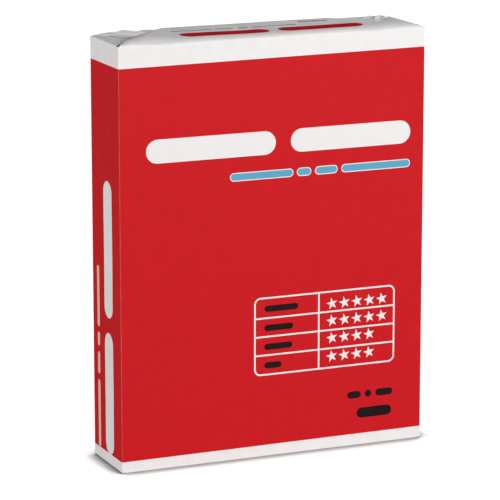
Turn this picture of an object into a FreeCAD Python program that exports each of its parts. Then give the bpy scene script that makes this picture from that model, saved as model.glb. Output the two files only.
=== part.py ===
import FreeCAD, Part
import math
import os
from FreeCAD import Vector

# A sealed ream of letter-size paper, standing on its lower end.
# X runs across the front panel, the front panel faces -Y, and Z runs up the sheets' long edge.
# The origin is the middle of the lowest plane, under the middle of the bounding box.
# The pack is sealed, so the wrapper and the stack in it are one solid. Its two ends hold the
# envelope fold: side tabs lowest, the back flap over them, and the front flap outermost.

# The stack of sheets
SHEET_WIDTH = 215.9
SHEET_LENGTH = 279.4
SHEET_COUNT = 500
SHEET_THICKNESS = 0.1016

# The wrapper round it
WRAP_THICKNESS = 0.12
SIDE_SLACK = 0.13
CORNER_RADIUS = 0.8
BACK_FLAP_GAP = 4.5
FRONT_FLAP_GAP = 2.2
TAB_REACH = 24.0

# The glued lap down the back panel: its free edge is a step, its other edge a gentle slope
LAP_WIDTH = 25.0
LAP_SLOPE = 3.0
LAP_CENTRE_X = 0.0

# The lower end, pressed flat by the pack's weight: each layer's height over the sheets' ends
LOWER_TAB_RISE = 0.25
LOWER_BACK_RISE = 0.55
LOWER_FRONT_RISE = 0.9

# The upper end, folded loosely: the height and the depth of each flap's soft roll
UPPER_TAB_CREST = 0.35
UPPER_TAB_CREST_DEPTH = 3.0
UPPER_BACK_CREST = 1.05
UPPER_BACK_CREST_DEPTH = 6.0
UPPER_FRONT_CREST = 1.6
UPPER_FRONT_CREST_DEPTH = 9.0
PILLOW_CREST = 2.0
PILLOW_CREST_DEPTH = 18.0
PILLOW_FROM_EDGE = 62.0
PINCH_CREST = 0.42
PINCH_CREST_DEPTH = 3.0
PINCH_LENGTH = 17.0
PILLOW_LENGTH = 70.0
TIP_DROP = 0.15
STATION_COUNT = 15

# Sharp creases in what shows of the upper back flap, fanned out from each back corner until
# they run in under the front flap: the angle from the back edge, the foot's width and the height
LEFT_CREASES = [(14.0, 5.0, 0.3), (31.0, 4.0, 0.25)]
RIGHT_CREASES = [(13.0, 6.0, 0.35), (25.0, 4.5, 0.3), (38.0, 4.0, 0.25)]
CREASE_INSET = 1.6
CREASE_COVER = 1.0

# How deep each flap is sunk into what carries it, so that the layers are one solid
ROOT_DEPTH = 0.6

STACK_DEPTH = SHEET_COUNT * SHEET_THICKNESS
PACK_WIDTH = SHEET_WIDTH + 2 * (SIDE_SLACK + WRAP_THICKNESS)
PACK_DEPTH = STACK_DEPTH + 2 * WRAP_THICKNESS
LAP_RISE = WRAP_THICKNESS
FRONT_Y = -(PACK_DEPTH + LAP_RISE) / 2
BACK_Y = FRONT_Y + PACK_DEPTH
MIDDLE_Y = (FRONT_Y + BACK_Y) / 2
LOWER_Z = LOWER_FRONT_RISE
UPPER_Z = LOWER_Z + SHEET_LENGTH + 2 * WRAP_THICKNESS
FRONT_REACH = PACK_DEPTH - FRONT_FLAP_GAP
BACK_REACH = PACK_DEPTH - BACK_FLAP_GAP
PANEL_HALF = PACK_WIDTH / 2 - CORNER_RADIUS
SIDE_HALF = PACK_DEPTH / 2 - CORNER_RADIUS


def polygon_face(points):
    """A flat face bounded by straight edges through the points."""
    return Part.Face(Part.makePolygon(points + [points[0]]))


def stack_block():
    """The wrapped stack without its folded ends, its four long edges rounded by the wrapper."""
    block = Part.makeBox(
        PACK_WIDTH, PACK_DEPTH, UPPER_Z - LOWER_Z, Vector(-PACK_WIDTH / 2, FRONT_Y, LOWER_Z)
    )
    upright = [e for e in block.Edges if abs(e.tangentAt(e.FirstParameter).z) > 0.5]
    return block.makeFillet(CORNER_RADIUS, upright)


def back_lap():
    """The glued lap of the wrapper's two long edges, one more layer of paper down the back."""
    left = LAP_CENTRE_X - LAP_WIDTH / 2
    right = LAP_CENTRE_X + LAP_WIDTH / 2
    section = polygon_face(
        [
            Vector(left, BACK_Y - ROOT_DEPTH, LOWER_Z),
            Vector(left, BACK_Y + LAP_RISE, LOWER_Z),
            Vector(right, BACK_Y + LAP_RISE, LOWER_Z),
            Vector(right + LAP_SLOPE, BACK_Y, LOWER_Z),
            Vector(right + LAP_SLOPE, BACK_Y - ROOT_DEPTH, LOWER_Z),
        ]
    )
    return section.extrude(Vector(0, 0, UPPER_Z - LOWER_Z))


def flap_prism(half, reach, height):
    """The flap's outline in its own frame, as a tall prism: a trapezoid with 45 degree sides.

    The fold line is y = 0, from x = -half to x = half, and the flap reaches towards +y.
    """
    outline = polygon_face(
        [
            Vector(-half, 0, -ROOT_DEPTH),
            Vector(half, 0, -ROOT_DEPTH),
            Vector(half - reach, reach, -ROOT_DEPTH),
            Vector(-half + reach, reach, -ROOT_DEPTH),
        ]
    )
    return outline.extrude(Vector(0, 0, ROOT_DEPTH + height))


def pressed_flap(half, reach, rise):
    """A flap that lies flat, with a round fold of its own height along its fold line."""
    quarter = Part.Arc(
        Vector(-half, 0, 0),
        Vector(-half, rise * (1 - 0.5**0.5), rise * 0.5**0.5),
        Vector(-half, rise, rise),
    )
    edges = [
        quarter.toShape(),
        Part.LineSegment(Vector(-half, rise, rise), Vector(-half, reach, rise)).toShape(),
        Part.LineSegment(Vector(-half, reach, rise), Vector(-half, reach, -ROOT_DEPTH)).toShape(),
        Part.LineSegment(Vector(-half, reach, -ROOT_DEPTH), Vector(-half, 0, -ROOT_DEPTH)).toShape(),
        Part.LineSegment(Vector(-half, 0, -ROOT_DEPTH), Vector(-half, 0, 0)).toShape(),
    ]
    sheet = Part.Face(Part.Wire(edges)).extrude(Vector(2 * half, 0, 0))
    return sheet.common(flap_prism(half, reach, 2 * rise))


def roll_section(x, reach, crest, crest_depth):
    """A closed section of a loose flap: it rises steeply from the fold, crests, and sinks a little."""
    tip = crest - TIP_DROP
    middle = (crest_depth + reach) / 2
    top = Part.BSplineCurve()
    top.interpolate(
        [
            Vector(x, 0, 0),
            Vector(x, 0.25 * crest_depth, 0.72 * crest),
            Vector(x, crest_depth, crest),
            Vector(x, middle, crest - 0.35 * TIP_DROP),
            Vector(x, reach, tip),
        ]
    )
    edges = [
        top.toShape(),
        Part.LineSegment(Vector(x, reach, tip), Vector(x, reach, -ROOT_DEPTH)).toShape(),
        Part.LineSegment(Vector(x, reach, -ROOT_DEPTH), Vector(x, 0, -ROOT_DEPTH)).toShape(),
        Part.LineSegment(Vector(x, 0, -ROOT_DEPTH), Vector(x, 0, 0)).toShape(),
    ]
    return Part.Wire(edges)


def loose_flap(half, reach, stations):
    """A softly rolled flap, lofted through sections at (x, crest, crest depth) and cut to its outline."""
    sections = [roll_section(x, reach, crest, depth) for x, crest, depth in stations]
    tallest = max(crest for x, crest, depth in stations)
    return Part.makeLoft(sections, True, True).common(flap_prism(half, reach, 2 * tallest))


def crease(angle, width, height, carrier_rise):
    """A sharp crease as a low ridge, growing from a point near the corner at the origin.

    It runs towards +x and -y, at the given angle from the x axis, on a layer carrier_rise high,
    and it ends just past the front flap's 45 degree edge, which is where x - y = PACK_DEPTH.
    """
    slant = math.cos(math.radians(abs(angle))) + math.sin(math.radians(abs(angle)))
    length = (PACK_DEPTH - 2 * CREASE_INSET) / slant + CREASE_COVER
    foot = carrier_rise - ROOT_DEPTH
    ridge = carrier_rise + height
    corners = [
        Vector(0, 0, foot),
        Vector(length, -width / 2, foot),
        Vector(length, width / 2, foot),
        Vector(length, 0, ridge),
    ]
    near, right, left, top = corners
    faces = [
        polygon_face([near, left, right]),
        polygon_face([near, right, top]),
        polygon_face([near, top, left]),
        polygon_face([left, top, right]),
    ]
    solid = Part.Solid(Part.makeShell(faces))
    solid.rotate(Vector(0, 0, 0), Vector(0, 0, 1), -angle)
    return solid


def eased(share):
    """0 to 1 with level ends, by half a cosine wave, as share goes from 0 to 1."""
    return 0.5 - 0.5 * math.cos(math.pi * min(max(share, 0.0), 1.0))


def upper_stations(crest, crest_depth, pillow_crest, pillow_depth):
    """Stations of a loose flap, pinched down at both corners and swollen near its right end.

    They lie close together near the corners, where the roll rises, and further apart between.
    """
    stations = []
    for i in range(STATION_COUNT):
        x = -PANEL_HALF * math.cos(math.pi * i / (STATION_COUNT - 1))
        risen = eased((PANEL_HALF - abs(x)) / PINCH_LENGTH)
        swollen = eased(1 - abs(x - (PANEL_HALF - PILLOW_FROM_EDGE)) / PILLOW_LENGTH)
        full = crest + swollen * (pillow_crest - crest)
        depth = crest_depth + swollen * (pillow_depth - crest_depth)
        height = PINCH_CREST + risen * (full - PINCH_CREST)
        stations.append((x, height, PINCH_CREST_DEPTH + risen * (depth - PINCH_CREST_DEPTH)))
    return stations


def tab_stations():
    """Stations of an upper side tab, which is low and even."""
    return [
        (-SIDE_HALF, UPPER_TAB_CREST, UPPER_TAB_CREST_DEPTH),
        (SIDE_HALF, UPPER_TAB_CREST, UPPER_TAB_CREST_DEPTH),
    ]


def seat_flap(flap, side):
    """Turns a flap from its own frame to its side of the end face, whose middle is the origin."""
    turns = {"front": 0, "right": 90, "back": 180, "left": 270}
    out = {"front": PACK_DEPTH / 2, "back": PACK_DEPTH / 2, "left": PACK_WIDTH / 2, "right": PACK_WIDTH / 2}
    flap.translate(Vector(0, -out[side], 0))
    flap.rotate(Vector(0, 0, 0), Vector(0, 0, 1), turns[side])
    return flap


def lower_end():
    """The pressed folds of the lower end, facing down."""
    layers = [
        seat_flap(pressed_flap(SIDE_HALF, TAB_REACH, LOWER_TAB_RISE), "left"),
        seat_flap(pressed_flap(SIDE_HALF, TAB_REACH, LOWER_TAB_RISE), "right"),
        seat_flap(pressed_flap(PANEL_HALF, BACK_REACH, LOWER_BACK_RISE), "back"),
        seat_flap(pressed_flap(PANEL_HALF, FRONT_REACH, LOWER_FRONT_RISE), "front"),
    ]
    down = [layer.mirror(Vector(0, 0, 0), Vector(0, 0, 1)) for layer in layers]
    for layer in down:
        layer.translate(Vector(0, MIDDLE_Y, LOWER_Z))
    return down


def upper_creases():
    """The creases that fan out from the two back corners of the upper end."""
    made = []
    corner = PACK_WIDTH / 2 - CREASE_INSET
    for angle, width, height in LEFT_CREASES:
        ridge = crease(angle, width, height, UPPER_BACK_CREST)
        ridge.translate(Vector(-corner, PACK_DEPTH / 2 - CREASE_INSET, 0))
        made.append(ridge)
    for angle, width, height in RIGHT_CREASES:
        ridge = crease(-angle, width, height, UPPER_BACK_CREST)
        ridge.rotate(Vector(0, 0, 0), Vector(0, 0, 1), 180)
        ridge.translate(Vector(corner, PACK_DEPTH / 2 - CREASE_INSET, 0))
        made.append(ridge)
    return made


def upper_end():
    """The loose folds of the upper end."""
    back = upper_stations(
        UPPER_BACK_CREST, UPPER_BACK_CREST_DEPTH, UPPER_BACK_CREST, UPPER_BACK_CREST_DEPTH
    )
    front = upper_stations(
        UPPER_FRONT_CREST, UPPER_FRONT_CREST_DEPTH, PILLOW_CREST, PILLOW_CREST_DEPTH
    )
    layers = [
        seat_flap(loose_flap(SIDE_HALF, TAB_REACH, tab_stations()), "left"),
        seat_flap(loose_flap(SIDE_HALF, TAB_REACH, tab_stations()), "right"),
        seat_flap(loose_flap(PANEL_HALF, BACK_REACH, back), "back"),
        seat_flap(loose_flap(PANEL_HALF, FRONT_REACH, front), "front"),
    ]
    layers += upper_creases()
    for layer in layers:
        layer.translate(Vector(0, MIDDLE_Y, UPPER_Z))
    return layers


def wrapped_ream():
    """The whole sealed pack as one solid."""
    pack = stack_block().fuse([back_lap()] + lower_end() + upper_end())
    return pack.removeSplitter()


def write_node(name, shape):
    """Writes one node's STEP file and prints what it holds."""
    os.makedirs("parts", exist_ok=True)
    shape.exportStep("parts/" + name + ".step")
    box = shape.BoundBox
    print(name, "solids", len(shape.Solids), "faces", len(shape.Faces), "valid", shape.isValid())
    print("box mm", [round(v, 3) for v in (box.XMin, box.YMin, box.ZMin, box.XMax, box.YMax, box.ZMax)])
    print("volume cm3", round(shape.Volume / 1000, 2))


write_node("wrapped_ream", wrapped_ream())
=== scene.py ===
import logging
import math
from dataclasses import dataclass, replace
from enum import Enum
from typing import Callable, Sequence

import bpy
import numpy as np
from mathutils import Matrix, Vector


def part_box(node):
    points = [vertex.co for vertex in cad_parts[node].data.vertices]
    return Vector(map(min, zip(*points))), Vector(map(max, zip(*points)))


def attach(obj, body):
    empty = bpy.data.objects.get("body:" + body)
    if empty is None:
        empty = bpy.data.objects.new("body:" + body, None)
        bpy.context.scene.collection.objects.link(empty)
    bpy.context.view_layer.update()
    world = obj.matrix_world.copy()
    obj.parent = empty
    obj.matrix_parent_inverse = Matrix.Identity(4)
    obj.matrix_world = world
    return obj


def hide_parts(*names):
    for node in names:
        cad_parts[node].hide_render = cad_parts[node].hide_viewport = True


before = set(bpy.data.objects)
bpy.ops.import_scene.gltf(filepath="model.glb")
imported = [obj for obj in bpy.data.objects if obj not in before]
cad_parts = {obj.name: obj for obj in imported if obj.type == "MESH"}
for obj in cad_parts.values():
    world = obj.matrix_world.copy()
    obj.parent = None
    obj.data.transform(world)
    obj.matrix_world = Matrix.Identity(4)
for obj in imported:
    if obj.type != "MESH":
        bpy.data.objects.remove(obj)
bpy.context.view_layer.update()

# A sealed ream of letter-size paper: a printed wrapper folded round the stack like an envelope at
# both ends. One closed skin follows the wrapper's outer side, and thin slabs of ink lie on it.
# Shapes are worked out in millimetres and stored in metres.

log = logging.getLogger("ream")

MM = 0.001
BODY = "root"
NODE = "wrapped_ream"

# In millimetres: the length of an end's long fold lines, how far the front and back flaps reach in
# from them, and the small step to each side by which the directions of a surface are found
FOLD_LENGTH = 216.4
FRONT_REACH = 48.8
BACK_REACH = 46.5
PROBE = 0.05

# A surface turns two coordinates of each point into its place
Surface = Callable[[np.ndarray, np.ndarray], np.ndarray]


class End(Enum):
    """An end of the pack, with the direction in which it faces."""

    LOWER = -1
    UPPER = 1


class Panel(Enum):
    """The wide panel that a flap is folded from, with the way that the flap reaches along y."""

    FRONT = 1
    BACK = -1


def smooth(share: np.ndarray) -> np.ndarray:
    """Eases 0..1 with level ends: 3 s squared less 2 s cubed, held outside.

    Args:
        share: Any values.

    Returns:
        The eased values, in 0..1.
    """
    held = np.clip(share, 0.0, 1.0)
    return held * held * (3.0 - 2.0 * held)


def soft_noise(u: np.ndarray, v: np.ndarray, wavelength: float, seed: int) -> np.ndarray:
    """Smooth noise of about one wavelength: a sum of plane waves with seeded headings and phases.

    Each wave's own length is 0.7 to 1.5 times the given one, and the sum is divided by three
    quarters of their number.

    Args:
        u: First coordinate in millimetres.
        v: Second coordinate in millimetres.
        wavelength: The middle wavelength in millimetres.
        seed: Seed of the headings and phases.

    Returns:
        Values of about -1..1.
    """
    draws = np.random.default_rng(seed)
    waves = 7
    total = np.zeros(np.broadcast(u, v).shape)
    for _ in range(waves):
        heading = draws.uniform(0.0, 2.0 * math.pi)
        number = 2.0 * math.pi / (wavelength * draws.uniform(0.7, 1.5))
        phase = draws.uniform(0.0, 2.0 * math.pi)
        total += np.sin(number * (u * math.cos(heading) + v * math.sin(heading)) + phase)
    return total / (0.75 * waves)


def graded(length: float, near: Sequence[float], step: float) -> np.ndarray:
    """Stations along a length, close together near both ends and evenly spaced between.

    Args:
        length: The whole length.
        near: Distances from each end that get a station, rising from 0.
        step: The largest spacing in the middle stretch.

    Returns:
        Rising stations from 0 to the length.
    """
    first = np.asarray(near)
    count = max(2, math.ceil((length - 2.0 * first[-1]) / step) + 1)
    middle = np.linspace(first[-1], length - first[-1], count)[1:-1]
    return np.concatenate([first, middle, (length - first)[::-1]])


@dataclass(frozen=True)
class Patch:
    """A grid of points with its place in the texture atlas.

    Attributes:
        points: Rows by columns by 3, in millimetres.
        atlas: Rows by columns by 2, in millimetres on the atlas sheet.
        flip: True if the rows and columns turn the patch's face inwards.
    """

    points: np.ndarray
    atlas: np.ndarray
    flip: bool


class Skin:
    """Patches that are welded into one closed mesh."""

    WELD = 1.0e-4

    def __init__(self, name: str, atlas_side: float, sharp_degrees: float) -> None:
        """Starts an empty skin.

        Args:
            name: The name of the finished object.
            atlas_side: The side of the square atlas sheet in millimetres.
            sharp_degrees: Edges that turn by more than this stay sharp in shading.
        """
        self.name = name
        self.atlas_side = atlas_side
        self.sharp_degrees = sharp_degrees
        self.patches: list[Patch] = []

    def add(self, *patches: Patch) -> None:
        """Adds patches to the skin."""
        self.patches.extend(patches)

    def _corners(self) -> tuple[np.ndarray, np.ndarray, np.ndarray]:
        """Lists every patch's points, and its cells as rows of four point numbers.

        Returns:
            The points, the cells and the atlas place of each point.
        """
        points, cells, places, start = [], [], [], 0
        for patch in self.patches:
            rows, columns = patch.points.shape[:2]
            number = start + np.arange(rows * columns).reshape(rows, columns)
            ring = [number[:-1, :-1], number[:-1, 1:], number[1:, 1:], number[1:, :-1]]
            if patch.flip:
                ring = ring[::-1]
            cells.append(np.stack(ring, axis=-1).reshape(-1, 4))
            points.append(patch.points.reshape(-1, 3))
            places.append(patch.atlas.reshape(-1, 2))
            start += rows * columns
        return np.concatenate(points), np.concatenate(cells), np.concatenate(places)

    def build(self) -> bpy.types.Object:
        """Welds the patches, drops cells with no area and makes the mesh object.

        Points that fall on the same spot become one vertex. A cell that keeps three corners
        becomes a triangle, and a cell with fewer goes.

        Returns:
            The object, linked to the scene.
        """
        points, cells, places = self._corners()
        keys = np.round(points / self.WELD).astype(np.int64)
        _, first, welded = np.unique(keys, axis=0, return_index=True, return_inverse=True)
        corner = welded.reshape(-1)[cells]
        doubled = corner == np.roll(corner, -1, axis=1)
        crossed = (corner[:, 0] == corner[:, 2]) | (corner[:, 1] == corner[:, 3])
        whole = (doubled.sum(axis=1) == 0) & ~crossed
        three = (doubled.sum(axis=1) == 1) & ~crossed
        triangles = corner[three][~doubled[three]].reshape(-1, 3)
        faces = corner[whole].tolist() + triangles.tolist()
        around = np.concatenate([cells[whole].reshape(-1), cells[three][~doubled[three]]])
        mesh = bpy.data.meshes.new(self.name)
        mesh.from_pydata((points[first] * MM).tolist(), [], faces)
        layer = mesh.uv_layers.new(name="OFBake")
        layer.data.foreach_set("uv", (places[around] / self.atlas_side).astype(np.float32).ravel())
        mesh.shade_smooth()
        mesh.set_sharp_from_angle(angle=math.radians(self.sharp_degrees))
        mesh.update()
        made = bpy.data.objects.new(self.name, mesh)
        bpy.context.scene.collection.objects.link(made)
        return made


@dataclass(frozen=True)
class PackForm:
    """Main sizes of the pack, in millimetres, in the CAD frame.

    Attributes:
        half_width: Half the width of the front panel.
        front: y of the front panel.
        back: y of the back panel, under the lap.
        lower: z of the lower fold lines.
        upper: z of the upper fold lines.
        corner_radius: How round the wrapper is over the stack's long edges.
        corner_taper: How far from a fold the long edges reach that roundness.
        lap_left: x of the lap's free edge.
        lap_width: Width of the lap.
        lap_slope: Width of the slope at the lap's other edge.
        lap_rise: How far the lap stands out.
    """

    half_width: float
    front: float
    back: float
    lower: float = 0.9
    upper: float = 280.54
    corner_radius: float = 0.8
    corner_taper: float = 6.0
    lap_left: float = -12.5
    lap_width: float = 25.0
    lap_slope: float = 3.0
    lap_rise: float = 0.12

    @property
    def half_depth(self) -> float:
        """Half the distance from the front panel to the back panel."""
        return (self.back - self.front) / 2.0

    @property
    def middle(self) -> float:
        """y half way between the front and back panels."""
        return (self.back + self.front) / 2.0

    @classmethod
    def from_frame(cls) -> "PackForm":
        """Reads the pack's width and depth from the CAD node's box."""
        low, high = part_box(NODE)
        return cls(half_width=high.x / MM, front=low.y / MM, back=high.y / MM - cls.lap_rise)


@dataclass(frozen=True)
class Crease:
    """A sharp crease in a flap, as a ridge with two straight slopes.

    Attributes:
        along: Where it starts, from the flap's corner along the fold line.
        inward: Where it starts, from the fold line inwards.
        angle: Its heading from the fold line, in degrees, away from the corner.
        length: Its length.
        rise: Its height at its highest.
        near_slope: Width of the slope on the fold line's side.
        far_slope: Width of the slope on the other side.
        RISE_SHARE: Share of its length over which it rises to its highest.
        FALL_SHARE: Share of its length over which it falls again.
    """

    along: float
    inward: float
    angle: float
    length: float
    rise: float
    near_slope: float
    far_slope: float

    RISE_SHARE = 0.35
    FALL_SHARE = 0.16

    def height(self, along: np.ndarray, inward: np.ndarray) -> np.ndarray:
        """Height of the ridge: a tent across its line, times a hump along it.

        Args:
            along: Distance from the flap's corner along the fold line.
            inward: Distance from the fold line.

        Returns:
            The height at each point.
        """
        heading = math.radians(self.angle)
        beside, ahead = along - self.along, inward - self.inward
        run = (beside * math.cos(heading) + ahead * math.sin(heading)) / self.length
        off = -beside * math.sin(heading) + ahead * math.cos(heading)
        tent = np.where(off < 0.0, 1.0 + off / self.near_slope, 1.0 - off / self.far_slope)
        hump = smooth(run / self.RISE_SHARE) * smooth((1.0 - run) / self.FALL_SHARE)
        return self.rise * np.clip(tent, 0.0, 1.0) * hump


@dataclass(frozen=True)
class RollStation:
    """The section of a flap's roll at one place along its fold line.

    Attributes:
        along: Distance from the left end of the fold line.
        crest: Height of the roll.
        depth: How far in the roll is at its full height.
        tip: Height of the flap at its free edge.
        soft: Share of a plain parabola in the roll, which else starts upright.
    """

    along: float
    crest: float
    depth: float
    tip: float
    soft: float = 0.0


@dataclass(frozen=True)
class FlapForm:
    """The form of one end flap, in millimetres.

    Attributes:
        reach: How far it reaches in from its fold line.
        thickness: How thick its doubled edge is.
        stations: Sections of its roll, from left to right.
        fullness: Power of the roll's curve: 2 is round, more is fuller.
        ripple: Height of its gentle unevenness.
        seed: Seed of the unevenness.
        left_creases: Creases near its left corner.
        right_creases: Creases near its right corner.
        row_step: Spacing of the grid's rows.
        LEAST_ROOM: The shortest stretch from the crest to the free edge that the bend is spread over.
        CREASE_START: How far in from the fold line the creases have their full height.
        RIPPLE_START: How far in from the fold line the unevenness has its full height.
        RIPPLE_END: How far from the right end of the fold line it has it.
        RIPPLE_LENGTH: Wavelength of the unevenness.
        RIPPLE_STRETCH: How many times closer its waves lie inwards than along the fold line.
    """

    reach: float
    thickness: float
    stations: tuple[RollStation, ...]
    fullness: float = 2.0
    ripple: float = 0.0
    seed: int = 1
    left_creases: tuple[Crease, ...] = ()
    right_creases: tuple[Crease, ...] = ()
    row_step: float = 1.05

    LEAST_ROOM = 1.5
    CREASE_START = 4.5
    RIPPLE_START = 12.0
    RIPPLE_END = 20.0
    RIPPLE_LENGTH = 34.0
    RIPPLE_STRETCH = 1.5

    def _between(self, along: np.ndarray, values: Sequence[float]) -> np.ndarray:
        """Eases a value from station to station.

        Args:
            along: Places along the fold line.
            values: The value at each station.

        Returns:
            The value at each place.
        """
        places = np.array([station.along for station in self.stations])
        number = np.clip(np.searchsorted(places, along, side="right") - 1, 0, len(places) - 2)
        share = smooth((along - places[number]) / (places[number + 1] - places[number]))
        known = np.array(values)
        return known[number] * (1.0 - share) + known[number + 1] * share

    def height(self, x: np.ndarray, inward: np.ndarray, half: float) -> np.ndarray:
        """Height over the fold level.

        It rises from the fold line to its crest, as an upright quarter superellipse mixed with a
        parabola, and bends from there to its tip height at the free edge as a parabola. It
        carries a gentle unevenness and its creases, and both die out towards the fold line.

        Args:
            x: Place along the fold line, from its middle.
            inward: Distance from the fold line.
            half: Half the fold line's length.

        Returns:
            The height at each point.
        """
        left, right = np.maximum(x + half, 0.0), np.maximum(half - x, 0.0)
        crest = self._between(left, [station.crest for station in self.stations])
        depth = self._between(left, [station.depth for station in self.stations])
        tip = self._between(left, [station.tip for station in self.stations])
        soft = self._between(left, [station.soft for station in self.stations])
        share = np.clip(inward / depth, 0.0, 1.0)
        upright = (1.0 - (1.0 - share) ** self.fullness) ** (1.0 / self.fullness)
        roll = upright * (1.0 - soft) + (1.0 - (1.0 - share) ** 2) * soft
        room = np.minimum(np.minimum(left, right), self.reach) - depth
        beyond = np.clip((inward - depth) / np.maximum(room, self.LEAST_ROOM), 0.0, 1.0) ** 2
        waves = soft_noise(x, inward * self.RIPPLE_STRETCH, self.RIPPLE_LENGTH, self.seed)
        uneven = self.ripple * smooth(inward / self.RIPPLE_START) * waves
        total = crest * roll - (crest - tip) * beyond + uneven * smooth(right / self.RIPPLE_END)
        settled = smooth(inward / self.CREASE_START)
        for crease in self.left_creases:
            total = total + settled * crease.height(left, inward)
        for crease in self.right_creases:
            total = total + settled * crease.height(right, inward)
        return total


@dataclass(frozen=True)
class EndForm:
    """The folds of one end.

    Attributes:
        front: The outermost flap, from the front panel.
        back: The flap under it, from the back panel.
        tab_crest: Height of the side tabs.
        tab_depth: How far in a side tab is at its full height.
        tab_dip: How far a side tab sinks again from its crest towards its tip.
        bulge: How far the whole end bulges in its middle.
        bulge_run: How far in from a side the bulge is at its full height.
        pocket: How far the side tab is drawn in where the front left corner stands open.
        TAB_FULLNESS: Power of the side tabs' curve.
        TAB_DIP_RUN: Length over which a side tab sinks again.
        POCKET_WAY: The way in which the tab is drawn in: to the right, back and down.
        POCKET_START: Where the pocket starts along the front flap's free edge, from the corner.
        POCKET_START_RUN: Length over which it gets its full depth there.
        POCKET_STOP: Where it ends along that edge.
        POCKET_STOP_RUN: Length over which it dies out there.
        POCKET_OUT: How far it reaches beyond that edge.
        POCKET_OUT_RUN: Length over which it dies out there.
        POCKET_UNDER: How far it reaches under the front flap.
        POCKET_UNDER_RUN: Length over which it dies out there.
    """

    front: FlapForm
    back: FlapForm
    tab_crest: float
    tab_depth: float
    tab_dip: float = 0.0
    bulge: float = 0.0
    bulge_run: float = 20.0
    pocket: float = 0.0

    TAB_FULLNESS = 2.2
    TAB_DIP_RUN = 9.0
    POCKET_WAY = (0.37, 0.87, -0.33)
    POCKET_START = 0.8
    POCKET_START_RUN = 0.7
    POCKET_STOP = 7.4
    POCKET_STOP_RUN = 1.6
    POCKET_OUT = 2.1
    POCKET_OUT_RUN = 0.4
    POCKET_UNDER = 1.8
    POCKET_UNDER_RUN = 0.9

    def flap(self, panel: Panel) -> FlapForm:
        """The flap that is folded from the panel."""
        return self.front if panel is Panel.FRONT else self.back

    def cushion(self, x: np.ndarray, y: np.ndarray, form: PackForm) -> np.ndarray:
        """How far the end bulges: nothing at its four edges, rising fast and level in the middle.

        It is a parabola in from each side, times one less the fourth power of the share of the
        way from the middle to the front or back.

        Args:
            x: Place across the pack.
            y: Place from the front to the back.
            form: The pack's main sizes.

        Returns:
            The height at each point.
        """
        from_side = np.clip((form.half_width - np.abs(x)) / self.bulge_run, 0.0, 1.0)
        off_middle = np.clip(np.abs(y - form.middle) / form.half_depth, 0.0, 1.0)
        return self.bulge * (1.0 - (1.0 - from_side) ** 2) * (1.0 - off_middle**4)

    def tab(self, x: np.ndarray, form: PackForm) -> np.ndarray:
        """Height of the side tabs: an upright quarter superellipse, then a dip towards the tip.

        Args:
            x: Place across the pack.
            form: The pack's main sizes.

        Returns:
            The height at each point.
        """
        side = form.half_width - np.abs(x)
        share = np.clip(side / self.tab_depth, 0.0, 1.0)
        roll = (1.0 - (1.0 - share) ** self.TAB_FULLNESS) ** (1.0 / self.TAB_FULLNESS)
        return self.tab_crest * roll - self.tab_dip * smooth((side - self.tab_depth) / self.TAB_DIP_RUN)

    def pocket_share(self, x: np.ndarray, y: np.ndarray, form: PackForm) -> np.ndarray:
        """How far each point of the side tab is drawn into the corner's open pocket, 0 to 1.

        The pocket opens along the front flap's free edge, and the share is eased to nothing at
        both its ends, under the front flap and a little way beyond the edge.

        Args:
            x: Place across the pack.
            y: Place from the front to the back.
            form: The pack's main sizes.

        Returns:
            The share at each point.
        """
        beside, ahead = form.half_width + x, y - form.front
        along, off = (beside + ahead) / math.sqrt(2.0), (ahead - beside) / math.sqrt(2.0)
        started = smooth((along - self.POCKET_START) / self.POCKET_START_RUN)
        length = started * smooth((self.POCKET_STOP - along) / self.POCKET_STOP_RUN)
        beyond = smooth((self.POCKET_OUT - off) / self.POCKET_OUT_RUN)
        under = smooth((off + self.POCKET_UNDER) / self.POCKET_UNDER_RUN)
        return length * beyond * under


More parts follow.
